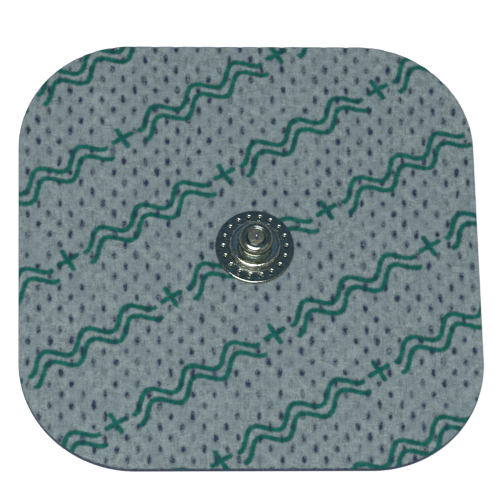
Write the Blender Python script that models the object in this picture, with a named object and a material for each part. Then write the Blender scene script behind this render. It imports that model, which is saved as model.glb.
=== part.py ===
"""Square self-adhesive electrode pad with a metal snap stud.

Units are metres, +Z is up, and the origin is the middle of the pad's sticky underside.
"""

import math

import bmesh
import bpy
from mathutils import Matrix, Vector
from mathutils.geometry import delaunay_2d_cdt

MM = 0.001

# Pad outline
PAD_WIDTH = 50.0 * MM
PAD_LENGTH = 50.0 * MM
CORNER_RADIUS = 12.4 * MM
CORNER_STEPS = 10
SIDE_STEPS = 6

# Layers, from the skin upwards
GEL_THICKNESS = 0.8 * MM
FILM_THICKNESS = 0.25 * MM
COVER_THICKNESS = 0.35 * MM
GEL_INSET = 0.5 * MM

# Embossed points of the cover, in staggered rows
DOT_COLUMN_STEP = 1.176 * MM
DOT_ROW_STEP = 1.245 * MM
DOT_SHIFT_X = 0.67 * MM
DOT_SHIFT_Y = 1.01 * MM
DOT_WIDTH = 0.56 * MM
DOT_LENGTH = 0.9 * MM
DOT_DEPTH = 0.16 * MM
DOT_EDGE_LAND = 0.12 * MM

# Place of the snap, slightly off the pad's middle
SNAP_X = 0.6 * MM
SNAP_Y = 0.64 * MM

# Ball of the stud, and the neck under it
BALL_RADIUS = 1.95 * MM
BALL_ROUNDING = 0.75 * MM
NECK_DEPTH = 0.5 * MM
NECK_LENGTH = 0.54 * MM
NECK_FILLET = 0.1 * MM

# Raised shoulder round the neck: a level ledge, a rounded edge and a steep wall down to the flange
LEDGE_WIDTH = 0.97 * MM
SHOULDER_RISE = 0.78 * MM
SHOULDER_ROUNDING = 0.4 * MM
WALL_LEAN = math.radians(8)

# Flange of the stud, lying on the cover
FLANGE_WIDTH = 1.42 * MM
FLANGE_HEIGHT = 0.36 * MM
STUD_SHEET = 0.28 * MM

# Pressed dimples round the flange
DIMPLE_COUNT = 18
DIMPLE_INSET = 0.85 * MM
DIMPLE_RADIUS = 0.31 * MM
DIMPLE_DEPTH = 0.14 * MM

# Dished top of the ball, with a low round disc in it, and a small dent in the disc's middle
DISH_DEPTH = 0.16 * MM
DISH_WALL = 0.24 * MM
DISC_GAP = 0.05 * MM
DISC_RISE = 0.08 * MM
DISC_CROWN = 0.03 * MM
DENT_RADIUS = 0.17 * MM
DENT_DEPTH = 0.06 * MM

# Back half of the snap: a flange under the film and a hollow post up into the ball
EYELET_FLANGE_RADIUS = 4.0 * MM
EYELET_SHEET = 0.22 * MM
POST_CLEARANCE = 0.12 * MM
POST_SPREAD = 0.2 * MM
POST_ROUNDING = 0.12 * MM

# Clearances of the layers round the snap
HOLE_CLEARANCE = 0.2 * MM
POCKET_CLEARANCE = 0.15 * MM
HOLE_STEPS = 24

# Steps round the turned pieces and along their curves
STUD_STEPS = 36
EYELET_STEPS = 24
POCKET_STEPS = 40
CURVE_STEPS = 3
EDGE_STEPS = 3
BALL_STEPS = 8
INNER_CURVE_STEPS = 2
INNER_BALL_STEPS = 3

MERGE_DISTANCE = 1e-7
FILL_TOLERANCE = 1e-8
SHARP_ANGLE = math.radians(35)

# Levels that several pieces share
FILM_BOTTOM = GEL_THICKNESS
COVER_BOTTOM = FILM_BOTTOM + FILM_THICKNESS
COVER_TOP = COVER_BOTTOM + COVER_THICKNESS

# The outside of the stud, from the ball outwards
BALL_CENTRE_RADIUS = BALL_RADIUS - BALL_ROUNDING
DISH_RADIUS = BALL_CENTRE_RADIUS - DISH_WALL
NECK_RADIUS = BALL_RADIUS - NECK_DEPTH
SHOULDER_TOP_RADIUS = NECK_RADIUS + LEDGE_WIDTH
WALL_TOP_RADIUS = SHOULDER_TOP_RADIUS + SHOULDER_ROUNDING * math.cos(WALL_LEAN)
WALL_RISE = SHOULDER_RISE - SHOULDER_ROUNDING * (1 - math.sin(WALL_LEAN))
SHOULDER_FOOT_RADIUS = WALL_TOP_RADIUS + WALL_RISE * math.tan(WALL_LEAN)
FLANGE_RADIUS = SHOULDER_FOOT_RADIUS + FLANGE_WIDTH
DIMPLE_CIRCLE_RADIUS = FLANGE_RADIUS - DIMPLE_INSET

# Heights of that outside above the cover, from the flange upwards
SHOULDER_HEIGHT = FLANGE_HEIGHT + SHOULDER_RISE
FILLET_TOP = SHOULDER_HEIGHT + NECK_FILLET
NECK_TOP = SHOULDER_HEIGHT + NECK_LENGTH
NECK_ANGLE = -math.acos((NECK_RADIUS - BALL_CENTRE_RADIUS) / BALL_ROUNDING)
BALL_CENTRE_HEIGHT = NECK_TOP - BALL_ROUNDING * math.sin(NECK_ANGLE)
BALL_TOP = BALL_CENTRE_HEIGHT + BALL_ROUNDING

# Inside of the stud, one sheet thickness in from its outside
INNER_ROUNDING = BALL_ROUNDING - STUD_SHEET
BORE_RADIUS = NECK_RADIUS - STUD_SHEET
BORE_ANGLE = -math.acos((BORE_RADIUS - BALL_CENTRE_RADIUS) / INNER_ROUNDING)
BORE_TOP = BALL_CENTRE_HEIGHT + INNER_ROUNDING * math.sin(BORE_ANGLE)
CEILING_HEIGHT = BALL_TOP - DISH_DEPTH - STUD_SHEET

# The post passes the stud's bore and spreads inside the ball
POST_RADIUS = BORE_RADIUS - POST_CLEARANCE
POST_HEAD_RADIUS = POST_RADIUS + POST_SPREAD
POST_TOP = CEILING_HEIGHT - POST_CLEARANCE
LAYER_HOLE_RADIUS = POST_RADIUS + HOLE_CLEARANCE


def clear_scene():
    """Remove every object that the file opened with."""
    for thing in list(bpy.data.objects):
        bpy.data.objects.remove(thing, do_unlink=True)


def linear(value):
    """One sRGB channel, from 0 to 255, as a linear value."""
    share = value / 255.0
    if share <= 0.04045:
        return share / 12.92
    return ((share + 0.055) / 1.055) ** 2.4


def finish(name, colour, roughness, metallic=0.0):
    """A Principled material with the given sRGB colour."""
    made = bpy.data.materials.new(name)
    made.use_nodes = True
    shader = made.node_tree.nodes["Principled BSDF"]
    shader.inputs["Base Color"].default_value = (*map(linear, colour), 1.0)
    shader.inputs["Roughness"].default_value = roughness
    shader.inputs["Metallic"].default_value = metallic
    return made


def add_object(name, shape, material, parent):
    """Turn a bmesh into a named object of the scene."""
    bmesh.ops.remove_doubles(shape, verts=shape.verts, dist=MERGE_DISTANCE)
    bmesh.ops.recalc_face_normals(shape, faces=shape.faces)
    mesh = bpy.data.meshes.new(name)
    shape.to_mesh(mesh)
    shape.free()
    mesh.materials.append(material)
    made = bpy.data.objects.new(name, mesh)
    bpy.context.scene.collection.objects.link(made)
    made.parent = parent
    return made


def add_empty(name, place, parent=None):
    """An empty that carries other objects."""
    made = bpy.data.objects.new(name, None)
    bpy.context.scene.collection.objects.link(made)
    made.location = place
    made.parent = parent
    return made


def shade_round(thing):
    """Smooth shading with sharp edges kept."""
    thing.data.shade_smooth()
    thing.data.set_sharp_from_angle(angle=SHARP_ANGLE)


def pad_outline(inset):
    """The rounded rectangle, anticlockwise, from the upper end of its right side."""
    inner_x = PAD_WIDTH / 2 - CORNER_RADIUS
    inner_y = PAD_LENGTH / 2 - CORNER_RADIUS
    radius = CORNER_RADIUS - inset
    corners = ((inner_x, inner_y), (-inner_x, inner_y), (-inner_x, -inner_y), (inner_x, -inner_y))
    points = []
    for quarter, (x, y) in enumerate(corners):
        for step in range(CORNER_STEPS + 1):
            angle = (quarter + step / CORNER_STEPS) * math.pi / 2
            points.append(Vector((x + radius * math.cos(angle), y + radius * math.sin(angle))))
        next_x, next_y = corners[(quarter + 1) % 4]
        angle = (quarter + 1) * math.pi / 2
        end = Vector((next_x + radius * math.cos(angle), next_y + radius * math.sin(angle)))
        start = points[-1]
        points += [start.lerp(end, step / SIDE_STEPS) for step in range(1, SIDE_STEPS)]
    return points


def circle(x, y, radius, steps):
    """Points round a circle."""
    turns = [step * math.tau / steps for step in range(steps)]
    return [Vector((x + radius * math.cos(turn), y + radius * math.sin(turn))) for turn in turns]


def depth_inside(x, y):
    """How far a point lies inside the pad's outline."""
    beyond_x = abs(x) - (PAD_WIDTH / 2 - CORNER_RADIUS)
    beyond_y = abs(y) - (PAD_LENGTH / 2 - CORNER_RADIUS)
    corner = math.hypot(max(beyond_x, 0.0), max(beyond_y, 0.0))
    return CORNER_RADIUS - corner - min(max(beyond_x, beyond_y), 0.0)


def dot_centres():
    """Middles of the embossed points, clear of the pad's edge and of the stud's flange."""
    columns = math.ceil((PAD_WIDTH / 2 + abs(DOT_SHIFT_X)) / DOT_COLUMN_STEP)
    rows = math.ceil((PAD_LENGTH / 2 + abs(DOT_SHIFT_Y)) / DOT_ROW_STEP)
    margin = DOT_LENGTH / 2 + DOT_EDGE_LAND
    centres = []
    for column in range(-columns, columns + 1):
        for row in range(-rows, rows + 1):
            x = DOT_SHIFT_X + column * DOT_COLUMN_STEP
            y = DOT_SHIFT_Y + row * DOT_ROW_STEP
            staggered = (column + row) % 2 == 0
            in_pad = depth_inside(x, y) > margin
            beside_flange = math.hypot(x - SNAP_X, y - SNAP_Y) > FLANGE_RADIUS
            if staggered and in_pad and beside_flange:
                centres.append(Vector((x, y)))
    return centres


def dot_rim(centre):
    """The four corners of one embossed point."""
    across = Vector((DOT_WIDTH / 2, 0.0))
    along = Vector((0.0, DOT_LENGTH / 2))
    return [centre + across, centre + along, centre - across, centre - along]


def loop_edges(start, count):
    """Index pairs round a closed loop of points."""
    return [(start + step, start + (step + 1) % count) for step in range(count)]


def fill_flat(shape, outline, hole, dots, height):
    """Fill a flat region of the pad with triangles, and press its embossed points in."""
    points = list(outline)
    edges = loop_edges(0, len(outline))
    edges += loop_edges(len(points), len(hole))
    points += hole
    for dot in dots:
        edges += loop_edges(len(points), 4)
        points += dot_rim(dot)
    lowered = len(points)
    points += dots
    flat, _, faces, origins, _, _ = delaunay_2d_cdt(points, edges, [], 1, FILL_TOLERANCE)
    verts = []
    for place, sources in zip(flat, origins):
        drop = DOT_DEPTH if any(source >= lowered for source in sources) else 0.0
        verts.append(shape.verts.new((place.x, place.y, height - drop)))
    open_radius = LAYER_HOLE_RADIUS * math.cos(math.pi / HOLE_STEPS) if hole else 0.0
    for face in faces:
        middle = sum((flat[index] for index in face), Vector((0.0, 0.0))) / len(face)
        if math.hypot(middle.x - SNAP_X, middle.y - SNAP_Y) >= open_radius:
            shape.faces.new([verts[index] for index in face])


def raise_walls(shape, loop, bottom, top):
    """Upright walls along a closed loop of points."""
    low = [shape.verts.new((point.x, point.y, bottom)) for point in loop]
    high = [shape.verts.new((point.x, point.y, top)) for point in loop]
    for start, end in loop_edges(0, len(loop)):
        shape.faces.new((low[start], low[end], high[end], high[start]))


def layer(name, bottom, top, material, parent, inset=0.0, with_hole=True, dots=()):
    """One sheet of the pad, cut to its outline."""
    shape = bmesh.new()
    outline = pad_outline(inset)
    hole = circle(SNAP_X, SNAP_Y, LAYER_HOLE_RADIUS, HOLE_STEPS) if with_hole else []
    fill_flat(shape, outline, hole, list(dots), top)
    fill_flat(shape, outline, hole, [], bottom)
    raise_walls(shape, outline, bottom, top)
    if hole:
        raise_walls(shape, hole, bottom, top)
    return add_object(name, shape, material, parent)


def cut(thing, cutter):
    """Take a cutter away from an object, and keep the cutter out of the model."""
    cutter.hide_render = True
    cutter.display_type = "WIRE"
    change = thing.modifiers.new("cut_" + cutter.name, "BOOLEAN")
    change.operation = "DIFFERENCE"
    change.solver = "EXACT"
    change.object = cutter


def cylinder(name, radius, bottom, top, steps, material, parent):
    """An upright cylinder on its parent's axis."""
    shape = bmesh.new()
    place = Matrix.Translation((0.0, 0.0, (bottom + top) / 2))
    bmesh.ops.create_cone(
        shape,
        cap_ends=True,
        segments=steps,
        radius1=radius,
        radius2=radius,
        depth=top - bottom,
        matrix=place,
    )
    return add_object(name, shape, material, parent)


def arc(centre_radius, centre_height, size, start, end, steps):
    """Points of a section along a circle, between two angles."""
    points = []
    for step in range(steps + 1):
        angle = start + (end - start) * step / steps
        points.append((centre_radius + size * math.cos(angle), centre_height + size * math.sin(angle)))
    return points


def ease(start, end, steps):
    """Points of a section along an S curve that is level at both ends."""
    points = []
    for step in range(steps + 1):
        share = step / steps
        rise = share * share * (3 - 2 * share)
        radius = start[0] + (end[0] - start[0]) * share
        points.append((radius, start[1] + (end[1] - start[1]) * rise))
    return points


def sweep(neck_radius, low, foot_radius, high, steps):
    """Points of a section down a quarter curve, from an upright neck to a level foot."""
    points = []
    for step in range(steps + 1):
        angle = step / steps * math.pi / 2
        radius = foot_radius - (foot_radius - neck_radius) * math.cos(angle)
        points.append((radius, high - (high - low) * math.sin(angle)))
    return points


def turned(name, section, steps, material, parent):
    """Turn a section, given as radius and height from axis to axis, round the parent's axis."""
    shape = bmesh.new()
    verts = [shape.verts.new((radius, 0.0, height)) for radius, height in section]
    edges = [shape.edges.new(pair) for pair in zip(verts, verts[1:])]
    bmesh.ops.spin(
        shape,
        geom=verts + edges,
        cent=(0.0, 0.0, 0.0),
        axis=(0.0, 0.0, 1.0),
        angle=math.tau,
        steps=steps,
        use_merge=True,
    )
    made = add_object(name, shape, material, parent)
    shade_round(made)
    return made


def stud_outside():
    """The stud's upper surface, from the middle of its top to the underside of its flange."""
    upright = math.pi / 2
    dish_floor = BALL_TOP - DISH_DEPTH
    disc_radius = DISH_RADIUS - DISC_GAP
    disc_edge = dish_floor + DISC_RISE
    edge_radius = FLANGE_HEIGHT / 2
    shoulder_centre = (SHOULDER_TOP_RADIUS, SHOULDER_HEIGHT - SHOULDER_ROUNDING)
    crown_top = disc_edge + DISC_CROWN
    crown = [(0.0, crown_top - DENT_DEPTH), (DENT_RADIUS, crown_top), (disc_radius, disc_edge)]
    dish = ease((DISH_RADIUS, dish_floor), (BALL_CENTRE_RADIUS, BALL_TOP), EDGE_STEPS)
    ball = arc(BALL_CENTRE_RADIUS, BALL_CENTRE_HEIGHT, BALL_ROUNDING, upright, NECK_ANGLE, BALL_STEPS)
    fillet_foot = NECK_RADIUS + NECK_FILLET
    fillet = sweep(NECK_RADIUS, SHOULDER_HEIGHT, fillet_foot, FILLET_TOP, INNER_CURVE_STEPS)
    shoulder = arc(*shoulder_centre, SHOULDER_ROUNDING, upright, WALL_LEAN, CURVE_STEPS)
    foot = [(SHOULDER_FOOT_RADIUS, FLANGE_HEIGHT)]
    edge = arc(FLANGE_RADIUS - edge_radius, edge_radius, edge_radius, upright, -upright, EDGE_STEPS)
    return crown + dish + ball[1:] + fillet + shoulder + foot + edge


def stud_inside():
    """The hollow under the stud, from the underside of its flange to the axis."""
    rounding = SHOULDER_ROUNDING - STUD_SHEET
    shoulder_height = SHOULDER_HEIGHT - STUD_SHEET
    wall = [(SHOULDER_FOOT_RADIUS - STUD_SHEET, 0.0)]
    wall += [(SHOULDER_TOP_RADIUS + rounding, shoulder_height - rounding)]
    wall += [(SHOULDER_TOP_RADIUS, shoulder_height)]
    bend_foot = BORE_RADIUS + NECK_FILLET + STUD_SHEET
    bend = sweep(BORE_RADIUS, shoulder_height, bend_foot, FILLET_TOP, INNER_CURVE_STEPS)
    ball = arc(
        BALL_CENTRE_RADIUS,
        BALL_CENTRE_HEIGHT,
        INNER_ROUNDING,
        BORE_ANGLE,
        math.pi / 2,
        INNER_BALL_STEPS,
    )
    ceiling = [(DISH_RADIUS, CEILING_HEIGHT), (0.0, CEILING_HEIGHT)]
    return wall + bend[::-1] + ball + ceiling


def dimple_cutter(material, parent):
    """A ring of balls that press the dimples into the flange."""
    size = (DIMPLE_RADIUS**2 + DIMPLE_DEPTH**2) / (2 * DIMPLE_DEPTH)
    height = FLANGE_HEIGHT - DIMPLE_DEPTH + size
    shape = bmesh.new()
    for number in range(DIMPLE_COUNT):
        turn = Matrix.Rotation(number * math.tau / DIMPLE_COUNT, 4, "Z")
        place = turn @ Matrix.Translation((DIMPLE_CIRCLE_RADIUS, 0.0, height))
        bmesh.ops.create_icosphere(shape, subdivisions=1, radius=size, matrix=place)
    return add_object("dimple_balls", shape, material, parent)


def snap_stud(material, parent):
    """The pressed stud: flange, shoulder, neck and dished ball."""
    made = turned("snap_stud", stud_outside() + stud_inside(), STUD_STEPS, material, parent)
    cut(made, dimple_cutter(material, parent))
    return made


def eyelet_section():
    """The back half of the snap, with heights above the cover: a flange and a hollow, spread post."""
    flange_top = FILM_BOTTOM - COVER_TOP
    flange_bottom = flange_top - EYELET_SHEET
    hollow = POST_RADIUS - EYELET_SHEET
    head_middle = POST_TOP - POST_ROUNDING
    head_centre = POST_HEAD_RADIUS - POST_ROUNDING
    head = arc(head_centre, head_middle, POST_ROUNDING, math.pi / 2, 0.0, INNER_CURVE_STEPS)
    post = [(POST_RADIUS, BORE_TOP), (POST_RADIUS, flange_top)]
    flange = [(EYELET_FLANGE_RADIUS, flange_top), (EYELET_FLANGE_RADIUS, flange_bottom)]
    mouth = [(hollow + EYELET_SHEET, flange_bottom), (hollow, flange_bottom + EYELET_SHEET)]
    spread = [(hollow, BORE_TOP), (POST_HEAD_RADIUS - EYELET_SHEET, head_middle)]
    ceiling = [(hollow, POST_TOP - EYELET_SHEET), (0.0, POST_TOP - EYELET_SHEET)]
    return [(0.0, POST_TOP)] + head + post + flange + mouth + spread + ceiling


def snap_eyelet(material, parent):
    """The back half of the snap, under the film."""
    return turned("snap_eyelet", eyelet_section(), EYELET_STEPS, material, parent)


def hydrogel(material, pad, snap):
    """The sticky gel sheet, with a pocket in its top for the eyelet's flange."""
    made = layer("hydrogel", 0.0, GEL_THICKNESS, material, pad, inset=GEL_INSET, with_hole=False)
    gel_top = GEL_THICKNESS - COVER_TOP
    pocket = cylinder(
        "eyelet_pocket",
        EYELET_FLANGE_RADIUS + POCKET_CLEARANCE,
        gel_top - EYELET_SHEET,
        gel_top + FILM_THICKNESS,
        POCKET_STEPS,
        material,
        snap,
    )
    cut(made, pocket)
    return made


def build():
    """Make the whole pad."""
    clear_scene()
    cloth = finish("white_nonwoven", (133, 146, 148), 0.9)
    carbon = finish("carbon_film", (34, 40, 62), 0.55)
    gel = finish("clear_gel", (196, 208, 205), 0.25)
    nickel = finish("nickel_plate", (150, 152, 142), 0.2, metallic=1.0)
    plain_nickel = finish("plain_nickel", (160, 160, 156), 0.3, metallic=1.0)

    pad = add_empty("electrode_pad", (0.0, 0.0, 0.0))
    snap = add_empty("snap_axis", (SNAP_X, SNAP_Y, COVER_TOP), pad)

    hydrogel(gel, pad, snap)
    layer("carbon_film", FILM_BOTTOM, COVER_BOTTOM, carbon, pad)
    layer("cover_fabric", COVER_BOTTOM, COVER_TOP, cloth, pad, dots=dot_centres())
    snap_eyelet(plain_nickel, snap)
    snap_stud(nickel, snap)


build()
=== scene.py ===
"""Looks of a square self-adhesive electrode pad with a metal snap stud.

Units are metres, +Z is up, and the origin is the middle of the pad's sticky underside.
"""

import math
import random

import bmesh
import bpy
from mathutils import Matrix, Vector
from mathutils.geometry import delaunay_2d_cdt
from mathutils.kdtree import KDTree


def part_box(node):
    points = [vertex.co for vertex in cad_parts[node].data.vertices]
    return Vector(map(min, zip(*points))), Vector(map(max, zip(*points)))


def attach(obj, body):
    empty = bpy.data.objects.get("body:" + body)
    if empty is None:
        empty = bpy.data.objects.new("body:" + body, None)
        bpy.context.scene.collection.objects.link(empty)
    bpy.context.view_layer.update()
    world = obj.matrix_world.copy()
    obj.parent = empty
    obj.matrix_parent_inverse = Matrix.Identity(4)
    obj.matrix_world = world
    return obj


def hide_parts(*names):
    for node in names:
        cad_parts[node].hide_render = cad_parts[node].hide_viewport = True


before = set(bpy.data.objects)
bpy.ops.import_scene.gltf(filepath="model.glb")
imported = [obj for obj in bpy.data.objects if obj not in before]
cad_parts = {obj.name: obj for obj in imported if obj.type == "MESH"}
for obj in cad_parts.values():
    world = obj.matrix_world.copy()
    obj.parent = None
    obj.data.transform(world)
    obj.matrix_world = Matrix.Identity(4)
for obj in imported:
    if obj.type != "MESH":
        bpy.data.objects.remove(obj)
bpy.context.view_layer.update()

MM = 0.001

# Camera, aimed at a point of the pad's top face
CAMERA_AIM_X = 0.09 * MM
CAMERA_AIM_Y = 0.37 * MM
CAMERA_DISTANCE = 431.3 * MM
CAMERA_AZIMUTH = math.radians(-8.36)
CAMERA_ELEVATION = math.radians(66.19)
CAMERA_ROLL = math.radians(7.71)
CAMERA_LENS_MM = 286.1
CAMERA_CLIP_START = 0.01
CAMERA_CLIP_END = 20.0

# Layers, as the solids have them
COVER_LOW, COVER_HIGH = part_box("cover_fabric")
FILM_LOW, FILM_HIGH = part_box("carbon_film")
GEL_LOW, GEL_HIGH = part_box("hydrogel")
STUD_LOW, STUD_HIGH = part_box("snap_stud")
EYELET_LOW, EYELET_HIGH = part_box("snap_eyelet")
PAD_WIDTH = COVER_HIGH.x - COVER_LOW.x
PAD_LENGTH = COVER_HIGH.y - COVER_LOW.y
COVER_TOP = COVER_HIGH.z
GEL_INSET = (PAD_WIDTH - GEL_HIGH.x + GEL_LOW.x) / 2
SNAP = (STUD_LOW + STUD_HIGH) / 2
CORNER_RADIUS = 12.4 * MM
CORNER_STEPS = 48
SIDE_STEPS = 60
LAYER_HOLE_RADIUS = 1.25 * MM
HOLE_STEPS = 64
POCKET_CLEARANCE = 0.15 * MM
GEL_ROUNDING = 0.25 * MM
GEL_ROUNDING_STEPS = 6

# Embossed points of the cover, in staggered rows. A reach is a share of the point's own oval.
DOT_COLUMN_STEP = 1.176 * MM
DOT_ROW_STEP = 1.245 * MM
DOT_SHIFT_X = 0.67 * MM
DOT_SHIFT_Y = 1.01 * MM
DOT_HALF_WIDTH = 0.28 * MM
DOT_HALF_LENGTH = 0.54 * MM
DOT_DEPTH = 0.16 * MM
DOT_JITTER = 0.07 * MM
DOT_LEAN = math.radians(9)
DOT_RINGS = (0.4, 0.75, 1.05, 1.4)
DOT_RING_STEPS = 12
DOT_WIDTH_RANGE = (0.8, 1.15)
DOT_LENGTH_RANGE = (0.75, 1.15)
DOT_WALL_POWER = 6
DRAWN_IN_SHARE = 0.15
DRAWN_IN_REACH = 1.7
FAINT_DOT_SHARE = 0.2
FAINT_STRENGTH_RANGE = (0.3, 0.6)
STRENGTH_RANGE = (0.7, 1.0)
LEAST_DEPTH_SHARE = 0.3
BOND_REACH = 1.05
BOND_POWER = 2.2
HOLLOW_DOT_SHARE = 0.16
HOLLOW_RANGE = (0.35, 0.7)
HOLLOW_REACH = 0.45

# The cover's upper face between the points, its rim as (inset, drop) pairs, and its edges
GROUND_STEP = 0.27 * MM
GROUND_GAP = 1.75
EDGE_GAP = 0.14 * MM
COVER_RIM = ((0.0, 0.07 * MM), (0.015 * MM, 0.02 * MM), (0.05 * MM, 0.0))
# Dark blue on the cover's cut edge: partly the film fused into the cut fibres, partly painted shade
# that widens the edge's dark line.
CUT_EDGE_FUSED_AND_SHADE = 0.8
CUT_EDGE_WIDTH = 0.03 * MM
# Painted shade along the rim of the front edge.
FRONT_RIM_SHADE = 0.65
FRONT_RIM_WIDTH = 0.1 * MM
FLANGE_SINK = 0.04 * MM
FLANGE_SINK_REACH = 0.5 * MM
FLANGE_OVERLAP = 0.3 * MM

# Stud, with heights above the cover
BALL_RADIUS = 1.95 * MM
BALL_ROUNDING = 0.75 * MM
NECK_DEPTH = 0.5 * MM
NECK_LENGTH = 0.54 * MM
NECK_FILLET = 0.1 * MM
LEDGE_WIDTH = 0.97 * MM
SHOULDER_RISE = 0.78 * MM
SHOULDER_ROUNDING = 0.4 * MM
WALL_LEAN = math.radians(8)
FLANGE_WIDTH = 1.42 * MM
FLANGE_HEIGHT = 0.36 * MM
STUD_SHEET = 0.28 * MM
DIMPLE_COUNT = 18
DIMPLE_INSET = 0.85 * MM
DIMPLE_RADIUS = 0.31 * MM
DIMPLE_DEPTH = 0.14 * MM
DIMPLE_FLOOR = 0.15
LIP_HEIGHT = 0.018 * MM
LIP_PLACE = 1.1
LIP_WIDTH = 0.16
DISH_DEPTH = 0.16 * MM
DISH_WALL = 0.24 * MM
DISC_GAP = 0.05 * MM
DISC_RISE = 0.08 * MM
DISC_CROWN = 0.03 * MM
DENT_RADIUS = 0.17 * MM
DENT_DEPTH = 0.06 * MM
DENT_FALL = 1.6
STUD_STEPS = 432
FLANGE_STEPS = 44
CURVE_STEPS = 12

BALL_CENTRE_RADIUS = BALL_RADIUS - BALL_ROUNDING
DISH_RADIUS = BALL_CENTRE_RADIUS - DISH_WALL
NECK_RADIUS = BALL_RADIUS - NECK_DEPTH
SHOULDER_TOP_RADIUS = NECK_RADIUS + LEDGE_WIDTH
WALL_TOP_RADIUS = SHOULDER_TOP_RADIUS + SHOULDER_ROUNDING * math.cos(WALL_LEAN)
WALL_RISE = SHOULDER_RISE - SHOULDER_ROUNDING * (1 - math.sin(WALL_LEAN))
SHOULDER_FOOT_RADIUS = WALL_TOP_RADIUS + WALL_RISE * math.tan(WALL_LEAN)
FLANGE_RADIUS = SHOULDER_FOOT_RADIUS + FLANGE_WIDTH
DIMPLE_CIRCLE_RADIUS = FLANGE_RADIUS - DIMPLE_INSET
SHOULDER_HEIGHT = FLANGE_HEIGHT + SHOULDER_RISE
FILLET_TOP = SHOULDER_HEIGHT + NECK_FILLET
NECK_TOP = SHOULDER_HEIGHT + NECK_LENGTH
NECK_ANGLE = -math.acos((NECK_RADIUS - BALL_CENTRE_RADIUS) / BALL_ROUNDING)
BALL_CENTRE_HEIGHT = NECK_TOP - BALL_ROUNDING * math.sin(NECK_ANGLE)
BALL_TOP = BALL_CENTRE_HEIGHT + BALL_ROUNDING
INNER_ROUNDING = BALL_ROUNDING - STUD_SHEET
BORE_RADIUS = NECK_RADIUS - STUD_SHEET
BORE_ANGLE = -math.acos((BORE_RADIUS - BALL_CENTRE_RADIUS) / INNER_ROUNDING)
CEILING_HEIGHT = BALL_TOP - DISH_DEPTH - STUD_SHEET

# Print on the cover, in millimetres: slanting rows of waves, each broken by plus signs
INK_SLANT = math.radians(31)
INK_ROW_STEP = 9.4
INK_REPEAT = 20.0
INK_ROW_SHIFT = 7.3
INK_STROKE = 0.6
INK_SOFTNESS = 0.16
WAVE_HEIGHT = 0.85
WAVE_LENGTH = 5.2
WAVE_OFFSET = 0.68
WAVE_REACH = 7.8
PLUS_ARM = 1.1

# Making the meshes
TRIANGLES_INSIDE = 1
FILL_TOLERANCE = 1e-8
MERGE_DISTANCE = 1e-7
HEIGHT_TOLERANCE = 1e-6
RANDOM_SEED = 11

# Lamps: name, azimuth and elevation in degrees, distance, width and height in metres, watts
LAMPS = (
    ("key_box", -24, 72, 0.36, 0.205, 0.185, 1.05),
    ("front_fill", -20, 25, 0.5, 0.375, 0.125, 0.3),
    ("right_fill", 60, 45, 0.6, 0.4, 0.3, 0.15),
)

# Floor and surroundings
FLOOR_GAP = 0.02 * MM
FLOOR_REACH = 0.1 * MM
FLOOR_HALF_SIZE = 3.0
FLOOR_GLOW = 0.75
SKY_TOWARD = (0.06, 0.4, 0.915)
SKY_AWAY_PLACE = 0.3
SKY_AWAY_COLOUR = (0.2, 0.21, 0.18, 1.0)
SKY_TOWARD_PLACE = 0.8
SKY_TOWARD_COLOUR = (0.075, 0.145, 0.225, 1.0)

# Places of a Mix node's colour sockets
MIX_FIRST = 6
MIX_SECOND = 7
MIX_RESULT = 2


def linear(value):
    """One sRGB channel, from 0 to 255, as a linear value."""
    share = value / 255.0
    if share <= 0.04045:
        return share / 12.92
    return ((share + 0.055) / 1.055) ** 2.4


def colour(red, green, blue):
    """An sRGB colour, from 0 to 255, as the linear RGBA that a shader takes."""
    return (linear(red), linear(green), linear(blue), 1.0)


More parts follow.
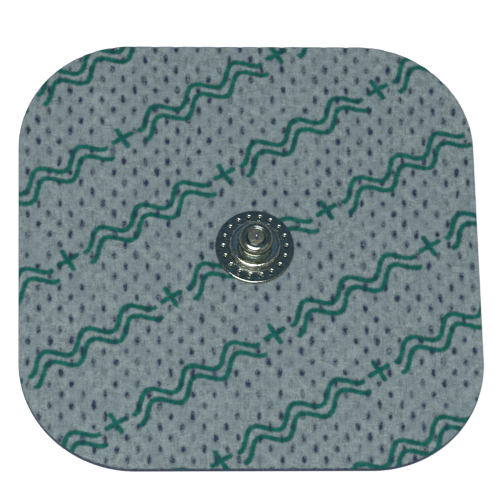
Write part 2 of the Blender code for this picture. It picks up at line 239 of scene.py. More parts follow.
class Finish:
    """A material, and the nodes that it is made of. Its lengths are in millimetres."""

    def __init__(self, name):
        self.material = bpy.data.materials.new(name)
        self.material.use_nodes = True
        self.tree = self.material.node_tree
        self.shader = self.tree.nodes["Principled BSDF"]
        where = self.tree.nodes.new("ShaderNodeTexCoord")
        self.place = self.vector("SCALE", where.outputs["Object"], scale=1 / MM)

    def join(self, value, socket):
        """Link a socket to another, or set it to a plain value."""
        if isinstance(value, bpy.types.NodeSocket):
            self.tree.links.new(value, socket)
        else:
            socket.default_value = value

    def set(self, **values):
        """Set inputs of the Principled shader. A double underscore stands for a space."""
        for name, value in values.items():
            self.join(value, self.shader.inputs[name.replace("__", " ")])

    def math(self, operation, *values):
        """One Math node."""
        node = self.tree.nodes.new("ShaderNodeMath")
        node.operation = operation
        for value, socket in zip(values, node.inputs):
            self.join(value, socket)
        return node.outputs[0]

    def vector(self, operation, *values, scale=None):
        """One Vector Math node."""
        node = self.tree.nodes.new("ShaderNodeVectorMath")
        node.operation = operation
        for value, socket in zip(values, node.inputs):
            self.join(value, socket)
        if scale is not None:
            self.join(scale, node.inputs["Scale"])
        return node.outputs[0]

    def spread(self, value, low, high, new_low=0.0, new_high=1.0):
        """Carry a value from one range to another, smoothly and held inside it."""
        node = self.tree.nodes.new("ShaderNodeMapRange")
        node.interpolation_type = "SMOOTHSTEP"
        for number, socket in zip((value, low, high, new_low, new_high), node.inputs):
            self.join(number, socket)
        return node.outputs[0]

    def near(self, value, middle, full, end):
        """How near a value is to a middle: 1 as far as full on either side, and 0 from end on."""
        away = self.math("ABSOLUTE", self.math("SUBTRACT", value, middle))
        return self.spread(away, full, end, 1.0, 0.0)

    def noise(self, sizes, detail, roughness):
        """Noise whose grain has the given size along each axis."""
        node = self.tree.nodes.new("ShaderNodeTexNoise")
        stretched = self.vector("DIVIDE", self.place, sizes)
        self.tree.links.new(stretched, node.inputs["Vector"])
        node.inputs["Scale"].default_value = 1.0
        node.inputs["Detail"].default_value = detail
        node.inputs["Roughness"].default_value = roughness
        return node.outputs["Fac"]

    def mix(self, share, first, second):
        """Mix two colours."""
        node = self.tree.nodes.new("ShaderNodeMix")
        node.data_type = "RGBA"
        self.join(share, node.inputs["Factor"])
        self.join(first, node.inputs[MIX_FIRST])
        self.join(second, node.inputs[MIX_SECOND])
        return node.outputs[MIX_RESULT]

    def attribute(self, name):
        """A value that the mesh holds at each vertex."""
        node = self.tree.nodes.new("ShaderNodeAttribute")
        node.attribute_name = name
        return node.outputs["Fac"]

    def bump(self, height, distance, strength):
        """Bump for the shader, where a height of 1 stands for the distance."""
        node = self.tree.nodes.new("ShaderNodeBump")
        node.inputs["Strength"].default_value = strength
        node.inputs["Distance"].default_value = distance * MM
        self.tree.links.new(height, node.inputs["Height"])
        self.tree.links.new(node.outputs["Normal"], self.shader.inputs["Normal"])


def off_stroke(finish, aside, past_end):
    """How far a point lies outside a round-ended stroke."""
    beyond = finish.math("MAXIMUM", past_end, 0.0)
    squares = finish.math("MULTIPLY_ADD", beyond, beyond, finish.math("MULTIPLY", aside, aside))
    return finish.math("SUBTRACT", finish.math("SQRT", squares), INK_STROKE / 2)


def ink_share(finish, fray):
    """How much ink lies at a point, from 0 to 1: waves and plus signs in slanting rows."""
    parts = finish.tree.nodes.new("ShaderNodeSeparateXYZ")
    finish.tree.links.new(finish.place, parts.inputs[0])
    x, y = parts.outputs["X"], parts.outputs["Y"]
    cosine, sine = math.cos(INK_SLANT), math.sin(INK_SLANT)
    along = finish.math("ADD", finish.math("MULTIPLY", x, cosine), finish.math("MULTIPLY", y, sine))
    turned_x, turned_y = finish.math("MULTIPLY", x, sine), finish.math("MULTIPLY", y, cosine)
    across = finish.math("SUBTRACT", turned_y, turned_x)
    row = finish.math("ROUND", finish.math("DIVIDE", across, INK_ROW_STEP))
    height = finish.math("SUBTRACT", across, finish.math("MULTIPLY", row, INK_ROW_STEP))
    shifted = finish.math("MULTIPLY_ADD", row, INK_ROW_SHIFT, along)
    reach = finish.math("WRAP", shifted, INK_REPEAT / 2, -INK_REPEAT / 2)

    turn = finish.math("MULTIPLY", reach, math.tau / WAVE_LENGTH)
    crest = finish.math("MULTIPLY", finish.math("COSINE", turn), WAVE_HEIGHT)
    slope = finish.math("MULTIPLY", finish.math("SINE", turn), WAVE_HEIGHT * math.tau / WAVE_LENGTH)
    steepness = finish.math("SQRT", finish.math("MULTIPLY_ADD", slope, slope, 1.0))
    off_middle = finish.math("ABSOLUTE", finish.math("SUBTRACT", height, crest))
    off_wave = finish.math("ABSOLUTE", finish.math("SUBTRACT", off_middle, WAVE_OFFSET))
    from_middle = finish.math("ABSOLUTE", reach)
    past_end = finish.math("SUBTRACT", from_middle, WAVE_REACH)
    wave = off_stroke(finish, finish.math("DIVIDE", off_wave, steepness), past_end)

    beside = finish.math("SUBTRACT", INK_REPEAT / 2, from_middle)
    above = finish.math("ABSOLUTE", height)
    long_side = finish.math("MAXIMUM", beside, above)
    short_side = finish.math("MINIMUM", beside, above)
    plus = off_stroke(finish, short_side, finish.math("SUBTRACT", long_side, PLUS_ARM))
    distance = finish.math("ADD", finish.math("MINIMUM", wave, plus), fray)
    return finish.spread(distance, -INK_SOFTNESS, INK_SOFTNESS, 1.0, 0.0)


def cloth_finish():
    """White nonwoven: fine fibres, fused points that let the dark film show, and green print."""
    finish = Finish("white_nonwoven")
    fine = finish.noise((0.2, 0.2, 0.2), 3.0, 0.65)
    soft = finish.noise((0.6, 0.6, 0.6), 3.0, 0.6)
    upright = finish.noise((0.14, 0.9, 0.3), 2.0, 0.6)
    level = finish.noise((0.9, 0.14, 0.3), 2.0, 0.6)
    patches = finish.noise((2.2, 2.2, 2.2), 3.0, 0.6)
    fibres = finish.math("MULTIPLY_ADD", upright, 0.2, finish.math("MULTIPLY", level, 0.15))
    fibres = finish.math("MULTIPLY_ADD", soft, 0.3, fibres)
    fibres = finish.math("MULTIPLY_ADD", fine, 0.35, fibres)
    tone = finish.spread(fibres, 0.38, 0.62)
    cloth = finish.mix(tone, colour(103, 115, 116), colour(152, 164, 162))
    cloud = finish.spread(patches, 0.35, 0.65, 0.0, 0.45)
    cloth = finish.mix(cloud, cloth, colour(119, 134, 139))

    bond = finish.attribute("bond")
    ragged = finish.math("MULTIPLY_ADD", fine, 1.1, finish.math("MULTIPLY", fibres, 2.4))
    ragged = finish.math("SUBTRACT", ragged, 1.75)
    ragged = finish.math("MULTIPLY", ragged, finish.spread(bond, 0.0, 0.35))
    fused = finish.spread(finish.math("ADD", bond, ragged), 0.08, 0.9)
    # Dark blue where the fused points let the film show through. On the cut edge and along the
    # front rim it is partly painted shade.
    cloth = finish.mix(fused, cloth, colour(38, 50, 75))

    fray = finish.math("MULTIPLY_ADD", fibres, 0.5, -0.25)
    ink = finish.math("MULTIPLY", ink_share(finish, fray), 0.97)
    dye = finish.mix(finish.spread(soft, 0.4, 0.6), colour(6, 82, 75), colour(8, 98, 87))
    wet = finish.mix(finish.math("MULTIPLY", fused, 0.75), dye, colour(24, 54, 70))
    finish.set(
        Base__Color=finish.mix(ink, cloth, wet),
        Roughness=finish.spread(fused, 0.0, 1.0, 0.9, 0.55),
        Specular__IOR__Level=0.15,
    )
    finish.bump(fibres, 0.04, 0.6)
    return finish.material


def film_finish():
    """Carbon-filled film, dark blue and nearly dull."""
    finish = Finish("carbon_film")
    grain = finish.noise((0.2, 0.2, 0.2), 3.0, 0.6)
    finish.set(
        Base__Color=finish.mix(grain, colour(16, 42, 80), colour(30, 62, 104)),
        Roughness=finish.spread(grain, 0.3, 0.7, 0.5, 0.7),
        Specular__IOR__Level=0.12,
    )
    finish.bump(grain, 0.02, 0.5)
    return finish.material


def gel_finish():
    """Clear sticky gel with a soft, uneven gloss."""
    finish = Finish("clear_gel")
    ripple = finish.noise((1.4, 1.4, 1.4), 2.0, 0.5)
    haze = finish.noise((0.5, 0.5, 0.5), 3.0, 0.6)
    finish.set(
        Base__Color=finish.mix(haze, colour(206, 218, 216), colour(228, 235, 232)),
        Roughness=finish.spread(haze, 0.2, 0.8, 0.1, 0.3),
        IOR=1.38,
        Transmission__Weight=0.55,
    )
    finish.bump(ripple, 0.08, 0.5)
    return finish.material


def eyelet_finish():
    """Nickel plate of the eyelet, with faint blotches and a fine grain."""
    finish = Finish("plain_nickel")
    blotches = finish.noise((0.7, 0.7, 0.7), 3.0, 0.6)
    grain = finish.noise((0.12, 0.12, 0.12), 3.0, 0.7)
    blotched = finish.spread(blotches, 0.35, 0.65)
    finish.set(
        Base__Color=finish.mix(blotched, colour(190, 190, 184), colour(160, 160, 154)),
        Metallic=1.0,
        Roughness=finish.spread(grain, 0.2, 0.8, 0.25, 0.37),
    )
    finish.bump(finish.math("ADD", blotches, grain), 0.012, 0.6)
    return finish.material


def stud_finish():
    """Nickel plate of the stud: each zone of its section has its own dullness and grain, and its
    tone, blotched and stained, carries painted reflections and painted light.
    """
    finish = Finish("nickel_plate")
    from_axis = finish.vector("SUBTRACT", finish.place, (SNAP.x / MM, SNAP.y / MM, COVER_TOP / MM))
    parts = finish.tree.nodes.new("ShaderNodeSeparateXYZ")
    finish.tree.links.new(from_axis, parts.inputs[0])
    height = parts.outputs["Z"]
    squares = finish.math("MULTIPLY", parts.outputs["X"], parts.outputs["X"])
    squares = finish.math("MULTIPLY_ADD", parts.outputs["Y"], parts.outputs["Y"], squares)
    radius = finish.math("SQRT", squares)

    # Zones of the section, each from 0 to 1
    disc_radius = (DISH_RADIUS - DISC_GAP) / MM
    neck, ledge_end = NECK_RADIUS / MM, SHOULDER_TOP_RADIUS / MM
    foot, ball_top = SHOULDER_FOOT_RADIUS / MM, BALL_TOP / MM
    ledge_height = SHOULDER_HEIGHT / MM
    disc = finish.spread(radius, disc_radius - 0.08, disc_radius, 1.0, 0.0)
    middle = finish.spread(radius, 0.3, 0.7, 1.0, 0.0)
    groove = finish.near(radius, disc_radius + 0.04, 0.03, 0.09)
    above_ledge = finish.spread(height, ledge_height + 0.05, ledge_height + 0.15)
    below_top = finish.spread(height, ball_top - 0.5, ball_top - 0.3, 1.0, 0.0)
    ball_side = finish.math("MULTIPLY", above_ledge, below_top)
    below_side = finish.spread(height, 1.7, 2.1, 1.0, 0.0)
    under_ball = finish.math("MULTIPLY", above_ledge, below_side)
    beside_neck = finish.spread(radius, neck, neck + 0.2)
    inside_edge = finish.spread(radius, ledge_end - 0.1, ledge_end, 1.0, 0.0)
    ledge = finish.math("MULTIPLY", beside_neck, inside_edge)
    ledge = finish.math("MULTIPLY", ledge, finish.math("SUBTRACT", 1.0, above_ledge))
    shoulder = finish.near(radius, ledge_end + 0.26, 0.14, 0.3)
    corner = finish.near(radius, foot + 0.1, 0.06, 0.2)

    # Tones: the plain plate, blotched and stained, then zone by zone painted reflections and
    # painted light, and a darker foot
    blotches = finish.noise((0.6, 0.6, 0.6), 3.0, 0.6)
    grain = finish.noise((0.1, 0.1, 0.1), 3.0, 0.7)
    stains = finish.noise((0.28, 0.28, 0.28), 3.0, 0.65)
    stained = finish.spread(stains, 0.4, 0.62)
    blotched = finish.spread(blotches, 0.35, 0.65)
    base = finish.mix(blotched, colour(168, 168, 156), colour(138, 144, 136))
    base = finish.mix(finish.math("MULTIPLY", stained, 0.5), base, colour(112, 122, 102))
    # Painted reflection: an olive tint on the disc and a purple-grey one in its middle, mottled by
    # the stains.
    disc_painted_reflection = finish.mix(stained, colour(184, 178, 138), colour(128, 128, 104))
    base = finish.mix(disc, base, disc_painted_reflection)
    middle_painted_reflection = finish.mix(stained, colour(160, 150, 152), colour(112, 108, 110))
    base = finish.mix(middle, base, middle_painted_reflection)
    # Painted light: the groove round the disc lifted to a paler grey.
    base = finish.mix(groove, base, colour(138, 142, 146))
    # Painted reflection: a darker band round the ball's side.
    base = finish.mix(ball_side, base, colour(126, 130, 114))
    # Painted light: paler bluish plate under the ball and round the neck.
    base = finish.mix(under_ball, base, colour(184, 202, 212))
    # Painted reflection: a warm tint on the ledge.
    ledge_painted_reflection = finish.mix(stained, colour(212, 212, 198), colour(178, 184, 166))
    base = finish.mix(ledge, base, ledge_painted_reflection)
    # Painted sheen: a paler band on the shoulder's rounding.
    shoulder_painted_sheen = finish.mix(stained, colour(188, 189, 178), colour(146, 150, 136))
    base = finish.mix(shoulder, base, shoulder_painted_sheen)
    base = finish.mix(corner, base, colour(128, 134, 128))

    # Dullness and grain
    rough = finish.spread(grain, 0.2, 0.8, 0.13, 0.2)
    rough = finish.math("MULTIPLY_ADD", disc, 0.2, rough)
    rough = finish.math("MULTIPLY_ADD", corner, 0.1, rough)
    rough = finish.math("MULTIPLY_ADD", ledge, -0.06, rough)
    rough = finish.math("MULTIPLY_ADD", under_ball, 0.2, rough)
    finish.set(Base__Color=base, Metallic=1.0, Roughness=rough)
    coarse = finish.math("MULTIPLY", grain, finish.math("MULTIPLY_ADD", shoulder, 1.8, 0.03))
    finish.bump(finish.math("MULTIPLY_ADD", blotches, 0.1, coarse), 0.012, 0.6)
    return finish.material


def pad_outline(inset):
    """The rounded rectangle, anticlockwise, from the upper end of its right side."""
    inner_x = PAD_WIDTH / 2 - CORNER_RADIUS
    inner_y = PAD_LENGTH / 2 - CORNER_RADIUS
    radius = CORNER_RADIUS - inset
    corners = ((inner_x, inner_y), (-inner_x, inner_y), (-inner_x, -inner_y), (inner_x, -inner_y))
    points = []
    for quarter, (x, y) in enumerate(corners):
        for step in range(CORNER_STEPS + 1):
            angle = (quarter + step / CORNER_STEPS) * math.pi / 2
            points.append(Vector((x + radius * math.cos(angle), y + radius * math.sin(angle))))
        next_x, next_y = corners[(quarter + 1) % 4]
        angle = (quarter + 1) * math.pi / 2
        end = Vector((next_x + radius * math.cos(angle), next_y + radius * math.sin(angle)))
        start = points[-1]
        points += [start.lerp(end, step / SIDE_STEPS) for step in range(1, SIDE_STEPS)]
    return points


def circle(radius):
    """Points round the snap's axis."""
    points = []
    for step in range(HOLE_STEPS):
        turn = step * math.tau / HOLE_STEPS
        points.append(Vector((SNAP.x + radius * math.cos(turn), SNAP.y + radius * math.sin(turn))))
    return points


def depth_inside(x, y):
    """How far a point lies inside the pad's outline."""
    beyond_x = abs(x) - (PAD_WIDTH / 2 - CORNER_RADIUS)
    beyond_y = abs(y) - (PAD_LENGTH / 2 - CORNER_RADIUS)
    corner = math.hypot(max(beyond_x, 0.0), max(beyond_y, 0.0))
    return CORNER_RADIUS - corner - min(max(beyond_x, beyond_y), 0.0)


def beside_snap(x, y):
    """How far a point lies from the snap's axis."""
    return math.hypot(x - SNAP.x, y - SNAP.y)


def loop_edges(start, count):
    """Index pairs round a closed loop of points."""
    return [(start + step, start + (step + 1) % count) for step in range(count)]


def fill(shape, outline, hole, inner, height_at):
    """Fill a region round a hole with triangles, through the inner points."""
    points = list(outline)
    edges = loop_edges(0, len(outline))
    edges += loop_edges(len(points), len(hole))
    points += hole
    points += inner
    flat, _, faces, *_ = delaunay_2d_cdt(points, edges, [], TRIANGLES_INSIDE, FILL_TOLERANCE)
    verts = [shape.verts.new((place.x, place.y, height_at(place.x, place.y))) for place in flat]
    open_radius = beside_snap(*hole[0]) * math.cos(math.pi / HOLE_STEPS) if hole else 0.0
    for face in faces:
        middle = sum((flat[index] for index in face), Vector((0.0, 0.0))) / len(face)
        if beside_snap(*middle) >= open_radius:
            shape.faces.new([verts[index] for index in face])


def wall(shape, lower_loop, lower_at, upper_loop, upper_at):
    """A strip of faces between two loops of as many points."""
    low = [shape.verts.new((x, y, lower_at(x, y))) for x, y in lower_loop]
    high = [shape.verts.new((x, y, upper_at(x, y))) for x, y in upper_loop]
    for start, end in loop_edges(0, len(low)):
        shape.faces.new((low[start], low[end], high[end], high[start]))


def level(height):
    """A height that is the same everywhere."""
    return lambda x, y: height


def lowered(height_at, drop):
    """A height function, lowered everywhere."""
    return lambda x, y: height_at(x, y) - drop


def edge_wall(shape, levels):
    """The outer edge of a layer, through (inset, height function) pairs from the bottom up."""
    for (lower_inset, lower_at), (upper_inset, upper_at) in zip(levels, levels[1:]):
        wall(shape, pad_outline(lower_inset), lower_at, pad_outline(upper_inset), upper_at)


def add_piece(name, shape, material, node, smooth=30):
    """Turn a bmesh into a piece that stands for a node. Edges over smooth degrees stay sharp."""
    bmesh.ops.remove_doubles(shape, verts=shape.verts, dist=MERGE_DISTANCE)
    bmesh.ops.recalc_face_normals(shape, faces=shape.faces)
    mesh = bpy.data.meshes.new(name)
    shape.to_mesh(mesh)
    shape.free()
    mesh.materials.append(material)
    mesh.shade_smooth()
    mesh.set_sharp_from_angle(angle=math.radians(smooth))
    piece = bpy.data.objects.new(name, mesh)
    bpy.context.scene.collection.objects.link(piece)
    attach(piece, "root")
    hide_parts(node)
    return piece


class Dot:
    """One embossed point of the cover."""

    def __init__(self, x, y, chance):
        self.x = x + chance.uniform(-DOT_JITTER, DOT_JITTER)
        self.y = y + chance.uniform(-DOT_JITTER, DOT_JITTER)
        self.half_width = DOT_HALF_WIDTH * chance.uniform(*DOT_WIDTH_RANGE)
        self.half_length = DOT_HALF_LENGTH * chance.uniform(*DOT_LENGTH_RANGE)
        lean = chance.uniform(-DOT_LEAN, DOT_LEAN)
        self.cosine, self.sine = math.cos(lean), math.sin(lean)
        faint = chance.random() < FAINT_DOT_SHARE
        self.strength = chance.uniform(*(FAINT_STRENGTH_RANGE if faint else STRENGTH_RANGE))
        is_hollow = chance.random() < HOLLOW_DOT_SHARE
        self.hollow = chance.uniform(*HOLLOW_RANGE) if is_hollow else 0.0

    def at(self, share, angle):
        """A point on one of the dot's ovals."""
        across = self.half_width * share * math.cos(angle)
        along = self.half_length * share * math.sin(angle)
        x = self.x + across * self.cosine - along * self.sine
        y = self.y + across * self.sine + along * self.cosine
        return Vector((x, y))

    def share(self, x, y):
        """How far out a point lies, where 1 is the dot's own oval."""
        across = (x - self.x) * self.cosine + (y - self.y) * self.sine
        along = (y - self.y) * self.cosine - (x - self.x) * self.sine
        return math.hypot(across / self.half_width, along / self.half_length)

    def depth(self, x, y):
        """How deep the cover is pressed in at a point."""
        share = self.share(x, y)
        pressed = 1 / (1 + share**DOT_WALL_POWER)
        drawn_in = math.exp(-((share / DRAWN_IN_REACH) ** 2))
        form = (1 - DRAWN_IN_SHARE) * pressed + DRAWN_IN_SHARE * drawn_in
        return DOT_DEPTH * (LEAST_DEPTH_SHARE + (1 - LEAST_DEPTH_SHARE) * self.strength) * form

    def bond(self, x, y):
        """How far the fibres are fused at a point, from 0 to 1."""
        share = self.share(x, y)
        fused = math.exp(-((share / BOND_REACH) ** BOND_POWER))
        return self.strength * fused * (1 - self.hollow * math.exp(-((share / HOLLOW_REACH) ** 2)))


class Cover:
    """The nonwoven cover's upper face."""

    def __init__(self):
        chance = random.Random(RANDOM_SEED)
        columns = math.ceil((PAD_WIDTH / 2 + DOT_SHIFT_X) / DOT_COLUMN_STEP)
        rows = math.ceil((PAD_LENGTH / 2 + DOT_SHIFT_Y) / DOT_ROW_STEP)
        self.dots = []
        for column in range(-columns, columns + 1):
            for row in range(-rows, rows + 1):
                if (column + row) % 2 == 0:
                    x = DOT_SHIFT_X + column * DOT_COLUMN_STEP
                    y = DOT_SHIFT_Y + row * DOT_ROW_STEP
                    self.dots.append(Dot(x, y, chance))
        self.tree = KDTree(len(self.dots))
        for number, dot in enumerate(self.dots):
            self.tree.insert((dot.x, dot.y, 0.0), number)
        self.tree.balance()

    def nearest(self, x, y):
        """The dot that a point belongs to."""
        return self.dots[self.tree.find((x, y, 0.0))[1]]

    def height(self, x, y):
        """Height of the upper face."""
        past_flange = beside_snap(x, y) - FLANGE_RADIUS
        sink = FLANGE_SINK * min(max(1 - past_flange / FLANGE_SINK_REACH, 0.0), 1.0)
        pressed = self.nearest(x, y).depth(x, y) if past_flange > 0 else 0.0
        return COVER_TOP - max(pressed, sink)

    def bond(self, x, y):
        """How far the fibres are fused at the points, with painted shade along the rim of the front
        edge.
        """
        # Painted shade: full along the front side, fading out round the front corners.
        front = min(max(-y - PAD_LENGTH / 2 + CORNER_RADIUS, 0.0) / CORNER_RADIUS, 1.0)
        rim = front * FRONT_RIM_SHADE if depth_inside(x, y) < FRONT_RIM_WIDTH else 0.0
        return max(rim, self.nearest(x, y).bond(x, y))

    def points(self):
        """Points of the upper face, close together where it is embossed."""
        found = []
        for dot in self.dots:
            found.append(Vector((dot.x, dot.y)))
            for ring, share in enumerate(DOT_RINGS):
                for step in range(DOT_RING_STEPS):
                    angle = (step + ring % 2 / 2) * math.tau / DOT_RING_STEPS
                    found.append(dot.at(share, angle))
        row_step = GROUND_STEP * math.sqrt(3) / 2
        rows = math.ceil(PAD_LENGTH / 2 / row_step)
        columns = math.ceil(PAD_WIDTH / 2 / GROUND_STEP)
        for row in range(-rows, rows + 1):
            for column in range(-columns, columns + 1):
                x = (column + row % 2 / 2) * GROUND_STEP
                y = row * row_step
                if self.nearest(x, y).share(x, y) > GROUND_GAP:
                    found.append(Vector((x, y)))
        clear_radius = FLANGE_RADIUS - FLANGE_OVERLAP
        return [
            point
            for point in found
            if depth_inside(*point) > EDGE_GAP and beside_snap(*point) > clear_radius
        ]


def cloth_cover(material):
    """The nonwoven cover, with every embossed point pressed in."""
    cover = Cover()
    shape = bmesh.new()
    hole = circle(LAYER_HOLE_RADIUS)
    bottom = level(COVER_LOW.z)
    rim = [(inset, lowered(cover.height, drop)) for inset, drop in COVER_RIM]
    rim_inset, _ = rim[-1]
    fill(shape, pad_outline(rim_inset), hole, cover.points(), cover.height)
    fill(shape, pad_outline(0.0), hole, [], bottom)
    wall(shape, hole, bottom, hole, cover.height)
    edge_wall(shape, [(0.0, bottom), *rim])
    piece = add_piece("cloth_cover", shape, material, "cover_fabric", smooth=70)
    bonds_and_edge_shade = piece.data.attributes.new("bond", "FLOAT", "POINT")
    upper = (COVER_LOW.z + COVER_TOP) / 2
    for vert, value in zip(piece.data.vertices, bonds_and_edge_shade.data):
        x, y, z = vert.co
        # The cut edge takes the fused points' dark blue: partly fused film, partly painted shade.
        cut = z < upper or depth_inside(x, y) < CUT_EDGE_WIDTH
        value.value = CUT_EDGE_FUSED_AND_SHADE if cut else cover.bond(x, y)


def film_layer(material):
    """The conductive film between the cover and the gel."""
    shape = bmesh.new()
    hole = circle(LAYER_HOLE_RADIUS)
    bottom, top = level(FILM_LOW.z), level(FILM_HIGH.z)
    fill(shape, pad_outline(0.0), hole, [], bottom)
    fill(shape, pad_outline(0.0), hole, [], top)
    wall(shape, hole, bottom, hole, top)
    edge_wall(shape, [(0.0, bottom), (0.0, top)])
    add_piece("film_layer", shape, material, "carbon_film")


def gel_sheet(material):
    """The gel, with a rounded lower edge and a pocket for the back of the snap."""
    shape = bmesh.new()
    radius = (EYELET_HIGH.x - EYELET_LOW.x) / 2 + POCKET_CLEARANCE
    pocket = circle(radius)
    top, floor = level(GEL_HIGH.z), level(EYELET_LOW.z)
    levels = []
    for step in range(GEL_ROUNDING_STEPS + 1):
        angle = step / GEL_ROUNDING_STEPS * math.pi / 2
        inset = GEL_INSET + GEL_ROUNDING * (1 - math.sin(angle))
        levels.append((inset, level(GEL_LOW.z + GEL_ROUNDING * (1 - math.cos(angle)))))
    levels.append((GEL_INSET, top))
    fill(shape, pad_outline(GEL_INSET + GEL_ROUNDING), [], [], level(GEL_LOW.z))
    fill(shape, pad_outline(GEL_INSET), pocket, [], top)
    fill(shape, pocket, [], [], floor)
    wall(shape, pocket, floor, pocket, top)
    edge_wall(shape, levels)
    add_piece("gel_sheet", shape, material, "hydrogel")


def arc(centre_radius, centre_height, size, start, end, steps):
    """Points of a section along a circle, between two angles."""
    points = []
    for step in range(steps + 1):
        angle = start + (end - start) * step / steps
        radius = centre_radius + size * math.cos(angle)
        points.append((radius, centre_height + size * math.sin(angle)))
    return points


def ease(start, end, steps):
    """Points of a section along an S curve that is level at both ends."""
    points = []
    for step in range(steps + 1):
        share = step / steps
        rise = share * share * (3 - 2 * share)
        radius = start[0] + (end[0] - start[0]) * share
        points.append((radius, start[1] + (end[1] - start[1]) * rise))
    return points


def sweep(neck_radius, low, foot_radius, high, steps):
    """Points of a section down a hollow quarter curve, from an upright neck to a level foot."""
    points = []
    for step in range(steps + 1):
        angle = step / steps * math.pi / 2
        radius = foot_radius - (foot_radius - neck_radius) * math.cos(angle)
        points.append((radius, high - (high - low) * math.sin(angle)))
    return points


def straight(start, end, steps):
    """Points of a section along a straight line."""
    points = []
    for step in range(steps + 1):
        share = step / steps
        radius = start[0] + (end[0] - start[0]) * share
        points.append((radius, start[1] + (end[1] - start[1]) * share))
    return points


def stud_outside():
    """The stud's upper surface, from the middle of its top to the underside of its flange."""
    upright = math.pi / 2
    dish_floor = BALL_TOP - DISH_DEPTH
    disc_radius = DISH_RADIUS - DISC_GAP
    disc_edge = dish_floor + DISC_RISE
    edge_radius = FLANGE_HEIGHT / 2
    edge_centre = (FLANGE_RADIUS - edge_radius, edge_radius)
    ball_centre = (BALL_CENTRE_RADIUS, BALL_CENTRE_HEIGHT)
    shoulder_centre = (SHOULDER_TOP_RADIUS, SHOULDER_HEIGHT - SHOULDER_ROUNDING)
    crown = []
    for step in range(2 * CURVE_STEPS + 1):
        radius = disc_radius * step / (2 * CURVE_STEPS)
        dent = DENT_DEPTH * math.exp(-((radius / DENT_RADIUS * DENT_FALL) ** 2))
        crown.append((radius, disc_edge + DISC_CROWN * (1 - (radius / disc_radius) ** 2) - dent))
    dish = ease((DISH_RADIUS, dish_floor), (BALL_CENTRE_RADIUS, BALL_TOP), CURVE_STEPS)
    ball = arc(*ball_centre, BALL_ROUNDING, upright, NECK_ANGLE, 2 * CURVE_STEPS)
    fillet_foot = NECK_RADIUS + NECK_FILLET
    fillet = sweep(NECK_RADIUS, SHOULDER_HEIGHT, fillet_foot, FILLET_TOP, CURVE_STEPS)
    shoulder = arc(*shoulder_centre, SHOULDER_ROUNDING, upright, WALL_LEAN, 2 * CURVE_STEPS)
    flange_end = (FLANGE_RADIUS - edge_radius, FLANGE_HEIGHT)
    flange = straight((SHOULDER_FOOT_RADIUS, FLANGE_HEIGHT), flange_end, FLANGE_STEPS)
    edge = arc(*edge_centre, edge_radius, upright, -upright, CURVE_STEPS)
    return crown + dish + ball[1:] + fillet + shoulder + flange + edge[1:]


def stud_inside():
    """The hollow under the stud, from the underside of its flange to the axis."""
    rounding = SHOULDER_ROUNDING - STUD_SHEET
    shoulder_height = SHOULDER_HEIGHT - STUD_SHEET
    side = [
        (SHOULDER_FOOT_RADIUS - STUD_SHEET, 0.0),
        (SHOULDER_TOP_RADIUS + rounding, shoulder_height - rounding),
        (SHOULDER_TOP_RADIUS, shoulder_height),
    ]
    bend_foot = BORE_RADIUS + NECK_FILLET + STUD_SHEET
    bend = sweep(BORE_RADIUS, shoulder_height, bend_foot, FILLET_TOP, CURVE_STEPS // 2)
    ball_centre = (BALL_CENTRE_RADIUS, BALL_CENTRE_HEIGHT)
    ball = arc(*ball_centre, INNER_ROUNDING, BORE_ANGLE, math.pi / 2, CURVE_STEPS // 2)
    return side + bend[::-1] + ball + [(DISH_RADIUS, CEILING_HEIGHT), (0.0, CEILING_HEIGHT)]


def dimple_depth(x, y):
    """How deep the flange is pressed in at a point, measured from the snap's axis."""
    turn = round(math.atan2(y, x) * DIMPLE_COUNT / math.tau) * math.tau / DIMPLE_COUNT
    away_x = x - DIMPLE_CIRCLE_RADIUS * math.cos(turn)
    away_y = y - DIMPLE_CIRCLE_RADIUS * math.sin(turn)
    share = math.hypot(away_x, away_y) / DIMPLE_RADIUS
    climb = min(max((share - DIMPLE_FLOOR) / (1 - DIMPLE_FLOOR), 0.0), 1.0)
    lip = LIP_HEIGHT * math.exp(-(((share - LIP_PLACE) / LIP_WIDTH) ** 2))
    return DIMPLE_DEPTH * (1 - climb * climb * (3 - 2 * climb)) - lip


def stud_shell(material):
    """The pressed stud, turned from its section, with its ring of dimples."""
    shape = bmesh.new()
    section = stud_outside() + stud_inside()
    verts = [shape.verts.new((radius, 0.0, height)) for radius, height in section]
    edges = [shape.edges.new(pair) for pair in zip(verts, verts[1:])]
    bmesh.ops.spin(
        shape,
        geom=verts + edges,
        cent=(0.0, 0.0, 0.0),
        axis=(0.0, 0.0, 1.0),
        angle=math.tau,
        steps=STUD_STEPS,
        use_merge=True,
    )
    for vert in shape.verts:
        if abs(vert.co.z - FLANGE_HEIGHT) < HEIGHT_TOLERANCE:
            vert.co.z -= dimple_depth(vert.co.x, vert.co.y)
    bmesh.ops.translate(shape, verts=shape.verts, vec=(SNAP.x, SNAP.y, COVER_TOP))
    add_piece("stud_shell", shape, material, "snap_stud", smooth=50)


def dress(node, material):
    """Give a node that stays in view its finish."""
    node.data.materials.clear()
    node.data.materials.append(material)


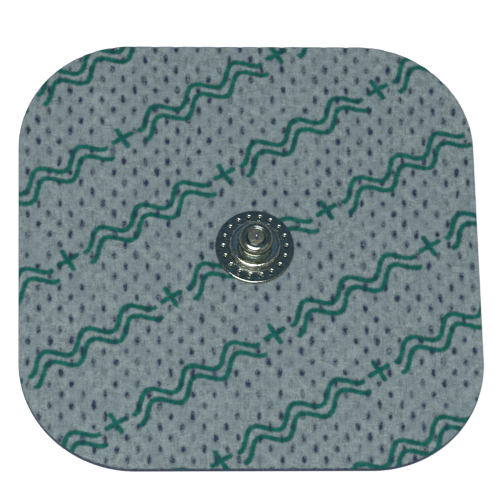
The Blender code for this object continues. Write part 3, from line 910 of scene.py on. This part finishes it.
def floor_finish():
    """Plain white, with the object's shadow left on it.

    It is clear from below, and to light that goes to what touches it, so the underside can be seen.
    """
    finish = Finish("pale_floor")
    link, nodes = finish.tree.links.new, finish.tree.nodes
    ray = nodes.new("ShaderNodeLightPath").outputs
    seen = finish.math("MAXIMUM", ray["Is Camera Ray"], ray["Is Glossy Ray"])
    seen = finish.math("MAXIMUM", seen, ray["Is Transmission Ray"])
    finish.set(
        Base__Color=(0.5, 0.5, 0.5, 1.0),
        Roughness=1.0,
        Specular__IOR__Level=0.0,
        Emission__Color=(1.0, 1.0, 1.0, 1.0),
        Emission__Strength=finish.math("MULTIPLY", seen, FLOOR_GLOW),
    )
    from_below = nodes.new("ShaderNodeNewGeometry").outputs["Backfacing"]
    touching = finish.math("LESS_THAN", ray["Ray Length"], FLOOR_REACH)
    surface = nodes.new("ShaderNodeMixShader")
    share, upper_face, lower_face = surface.inputs
    link(finish.math("MAXIMUM", from_below, touching), share)
    link(finish.shader.outputs["BSDF"], upper_face)
    link(nodes.new("ShaderNodeBsdfTransparent").outputs["BSDF"], lower_face)
    link(surface.outputs["Shader"], nodes["Material Output"].inputs["Surface"])
    return finish.material


def add_floor():
    """The floor that the pad lies on."""
    shape = bmesh.new()
    bmesh.ops.create_grid(shape, x_segments=1, y_segments=1, size=FLOOR_HALF_SIZE)
    mesh = bpy.data.meshes.new("floor")
    shape.to_mesh(mesh)
    shape.free()
    mesh.materials.append(floor_finish())
    floor = bpy.data.objects.new("floor", mesh)
    floor.location.z = -FLOOR_GAP
    bpy.context.scene.collection.objects.link(floor)


def add_lamp(name, azimuth, elevation, distance, width, height, power):
    """A soft lamp, placed round the pad as the camera is, and aimed at the pad."""
    lamp = bpy.data.lights.new(name, "AREA")
    lamp.shape = "RECTANGLE"
    lamp.size = width
    lamp.size_y = height
    lamp.energy = power
    made = bpy.data.objects.new(name, lamp)
    bpy.context.scene.collection.objects.link(made)
    turn, rise = math.radians(azimuth), math.radians(elevation)
    level_share = math.cos(rise)
    away = Vector((math.sin(turn) * level_share, -math.cos(turn) * level_share, math.sin(rise)))
    made.location = away * distance
    made.rotation_euler = away.to_track_quat("Z", "Y").to_euler()


def add_world():
    """Soft surroundings: blue towards one side of the sky, and paler and warmer away from it."""
    world = bpy.data.worlds.new("surroundings")
    bpy.context.scene.world = world
    world.use_nodes = True
    tree = world.node_tree
    where = tree.nodes.new("ShaderNodeTexCoord")
    toward = tree.nodes.new("ShaderNodeVectorMath")
    toward.operation = "DOT_PRODUCT"
    toward.inputs[1].default_value = SKY_TOWARD
    ramp = tree.nodes.new("ShaderNodeValToRGB")
    tree.links.new(where.outputs["Generated"], toward.inputs[0])
    tree.links.new(toward.outputs["Value"], ramp.inputs["Fac"])
    tree.links.new(ramp.outputs["Color"], tree.nodes["Background"].inputs["Color"])
    away_end, toward_end = ramp.color_ramp.elements
    away_end.position, away_end.color = SKY_AWAY_PLACE, SKY_AWAY_COLOUR
    toward_end.position, toward_end.color = SKY_TOWARD_PLACE, SKY_TOWARD_COLOUR


def add_camera():
    """The camera, where the photo was taken from."""
    data = bpy.data.cameras.new("camera")
    data.lens = CAMERA_LENS_MM
    data.clip_start = CAMERA_CLIP_START
    data.clip_end = CAMERA_CLIP_END
    camera = bpy.data.objects.new("camera", data)
    bpy.context.scene.collection.objects.link(camera)
    aim = Matrix.Translation((CAMERA_AIM_X, CAMERA_AIM_Y, COVER_TOP))
    turn = Matrix.Rotation(CAMERA_AZIMUTH, 4, "Z")
    tilt = Matrix.Rotation(math.pi / 2 - CAMERA_ELEVATION, 4, "X")
    roll = Matrix.Rotation(CAMERA_ROLL, 4, "Z")
    back = Matrix.Translation((0.0, 0.0, CAMERA_DISTANCE))
    camera.matrix_world = aim @ turn @ tilt @ roll @ back
    bpy.context.scene.camera = camera


def build():
    """Dress the part and set up the studio."""
    add_camera()
    film_layer(film_finish())
    cloth_cover(cloth_finish())
    gel_sheet(gel_finish())
    stud_shell(stud_finish())
    dress(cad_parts["snap_eyelet"], eyelet_finish())
    add_floor()
    add_world()
    for lamp in LAMPS:
        add_lamp(*lamp)
    bpy.context.scene.view_settings.view_transform = "Standard"


build()
